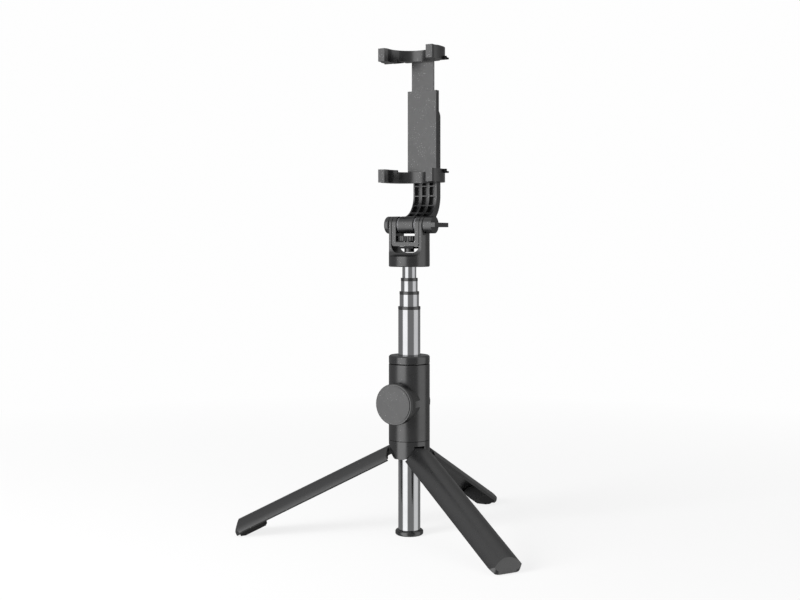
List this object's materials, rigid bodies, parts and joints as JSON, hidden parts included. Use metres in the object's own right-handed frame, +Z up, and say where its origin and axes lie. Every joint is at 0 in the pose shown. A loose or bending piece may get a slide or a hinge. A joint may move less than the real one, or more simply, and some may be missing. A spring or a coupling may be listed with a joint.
{
  "type": "selfie stick",
  "caption": "Telescopic selfie stick opened as a table tripod, with folding legs on a sliding collar, a round remote, a tilting head and a spring phone clamp.",
  "frame": {"origin": "on the stick's axis, at the flat bottom face of the main tube's end flange, level with the soles", "axes": "+Z up along the stick's axis, -Y towards the front, where the remote and the phone clamp's open side face, +X to the right seen from the front"},
  "size_m": [0.198, 0.1721, 0.3088],
  "materials": {
    "collar_plastic": "satin black",
    "gloss_plastic": "soft gloss black",
    "remote_plastic": "satin grey",
    "bright_tube": "polished, drawn lengthwise",
    "steel": "turned steel",
    "nylon": "moulded nylon",
    "rubber": "soft black rubber",
    "board": "coated circuit board",
    "lamp": "clear lamp"
  },
  "bodies": {
    "collar": {"collar_sleeve": "collar_plastic", "collar_cap": "gloss_plastic", "leg_hub": "gloss_plastic", "slide_bush": "nylon", "leg_pin_1": "steel", "leg_pin_2": "steel", "leg_pin_3": "steel"},
    "leg_left": {"leg_shell_1": "collar_plastic", "leg_foot_1": "rubber"},
    "leg_right": {"leg_shell_2": "collar_plastic", "leg_foot_2": "rubber"},
    "leg_rear": {"leg_shell_3": "collar_plastic", "leg_foot_3": "rubber"},
    "remote": {"remote_case": "gloss_plastic", "remote_face": "remote_plastic", "remote_cell": "steel", "remote_board": "board", "remote_lamp": "lamp"},
    "button": {"remote_button": "remote_plastic"},
    "main_tube": {"tube_1": "bright_tube", "tube_ring_1": "gloss_plastic", "end_flange": "gloss_plastic"},
    "second_tube": {"tube_2": "bright_tube", "tube_ring_2": "gloss_plastic", "tube_glide_2": "nylon"},
    "third_tube": {"tube_3": "bright_tube", "tube_ring_3": "gloss_plastic", "tube_glide_3": "nylon"},
    "inner_tube": {"tube_4": "bright_tube", "tube_glide_4": "nylon", "tube_plug": "nylon"},
    "head": {"head_fork": "collar_plastic", "pan_screw": "steel", "tilt_axle": "steel", "pivot_cap": "gloss_plastic", "tilt_washer_left": "nylon", "tilt_washer_right": "nylon"},
    "lock": {"lock_lever": "gloss_plastic"},
    "yoke": {"camera_yoke": "gloss_plastic", "camera_pad": "rubber"},
    "camera_screw": {"camera_screw": "gloss_plastic"},
    "arm": {"tilt_arm": "collar_plastic", "swivel_screw": "steel"},
    "clamp": {"clamp_frame": "collar_plastic", "spine_cover": "collar_plastic", "lower_grip_left": "rubber", "lower_grip_right": "rubber", "clamp_spring_left": "steel", "clamp_spring_right": "steel"},
    "upper_jaw": {"upper_jaw": "collar_plastic", "upper_grip_left": "rubber", "upper_grip_right": "rubber"}
  },
  "joints": [
    {"name": "tube_slide", "type": "slide", "parent": "collar", "child": "main_tube", "axis": [0, 0, 1], "range_m": [-0.0286, 0.042]},
    {"name": "second_slide", "type": "slide", "parent": "main_tube", "child": "second_tube", "axis": [0, 0, 1], "range_m": [-0.0074, 0.105]},
    {"name": "third_slide", "type": "slide", "parent": "second_tube", "child": "third_tube", "axis": [0, 0, 1], "range_m": [-0.0064, 0.095]},
    {"name": "inner_slide", "type": "slide", "parent": "third_tube", "child": "inner_tube", "axis": [0, 0, 1], "range_m": [-0.0069, 0.085]},
    {"name": "head_pan", "type": "hinge", "parent": "inner_tube", "child": "head", "pos_m": [0, 0, 0.172], "axis": [0, 0, 1], "continuous": true},
    {"name": "arm_tilt", "type": "hinge", "parent": "head", "child": "arm", "pos_m": [0, 0, 0.1961], "axis": [1, 0, 0], "range_deg": [-45, 150]},
    {"name": "lock_turn", "type": "hinge", "parent": "head", "child": "lock", "pos_m": [0.015, 0, 0.1961], "axis": [1, 0, 0], "range_deg": [-45, 90]},
    {"name": "yoke_flip", "type": "hinge", "parent": "head", "child": "yoke", "pos_m": [0, 0, 0.1961], "axis": [1, 0, 0], "range_deg": [-180, 0]},
    {"name": "camera_screw_turn", "type": "hinge", "parent": "yoke", "child": "camera_screw", "pos_m": [0, 0, 0.1876], "axis": [0, 0, 1], "continuous": true},
    {"name": "clamp_turn", "type": "hinge", "parent": "arm", "child": "clamp", "pos_m": [0, 0.0206, 0.26605], "axis": [0, 1, 0], "continuous": true},
    {"name": "jaw_slide", "type": "slide", "parent": "clamp", "child": "upper_jaw", "axis": [0, 0, 1], "range_m": [-0.013, 0.014], "deforming": ["clamp_spring_left", "clamp_spring_right"]},
    {"name": "remote_pull", "type": "slide", "parent": "collar", "child": "remote", "axis": [0, -1, 0], "range_m": [0, 0.025]},
    {"name": "button_press", "type": "slide", "parent": "remote", "child": "button", "axis": [0, 1, 0], "range_m": [0, 0.0005], "stiffness_N_per_m": 800},
    {"name": "leg_left_fold", "type": "hinge", "parent": "collar", "child": "leg_left", "pos_m": [-0.00866, -0.005, 0.0546], "axis": [0.5, -0.866, 0], "range_deg": [0, 63.8]},
    {"name": "leg_right_fold", "type": "hinge", "parent": "collar", "child": "leg_right", "pos_m": [0.00866, -0.005, 0.0546], "axis": [0.5, 0.866, 0], "range_deg": [0, 63.8]},
    {"name": "leg_rear_fold", "type": "hinge", "parent": "collar", "child": "leg_rear", "pos_m": [0, 0.01, 0.0546], "axis": [-1, 0, 0], "range_deg": [0, 63.8]}
  ]
}
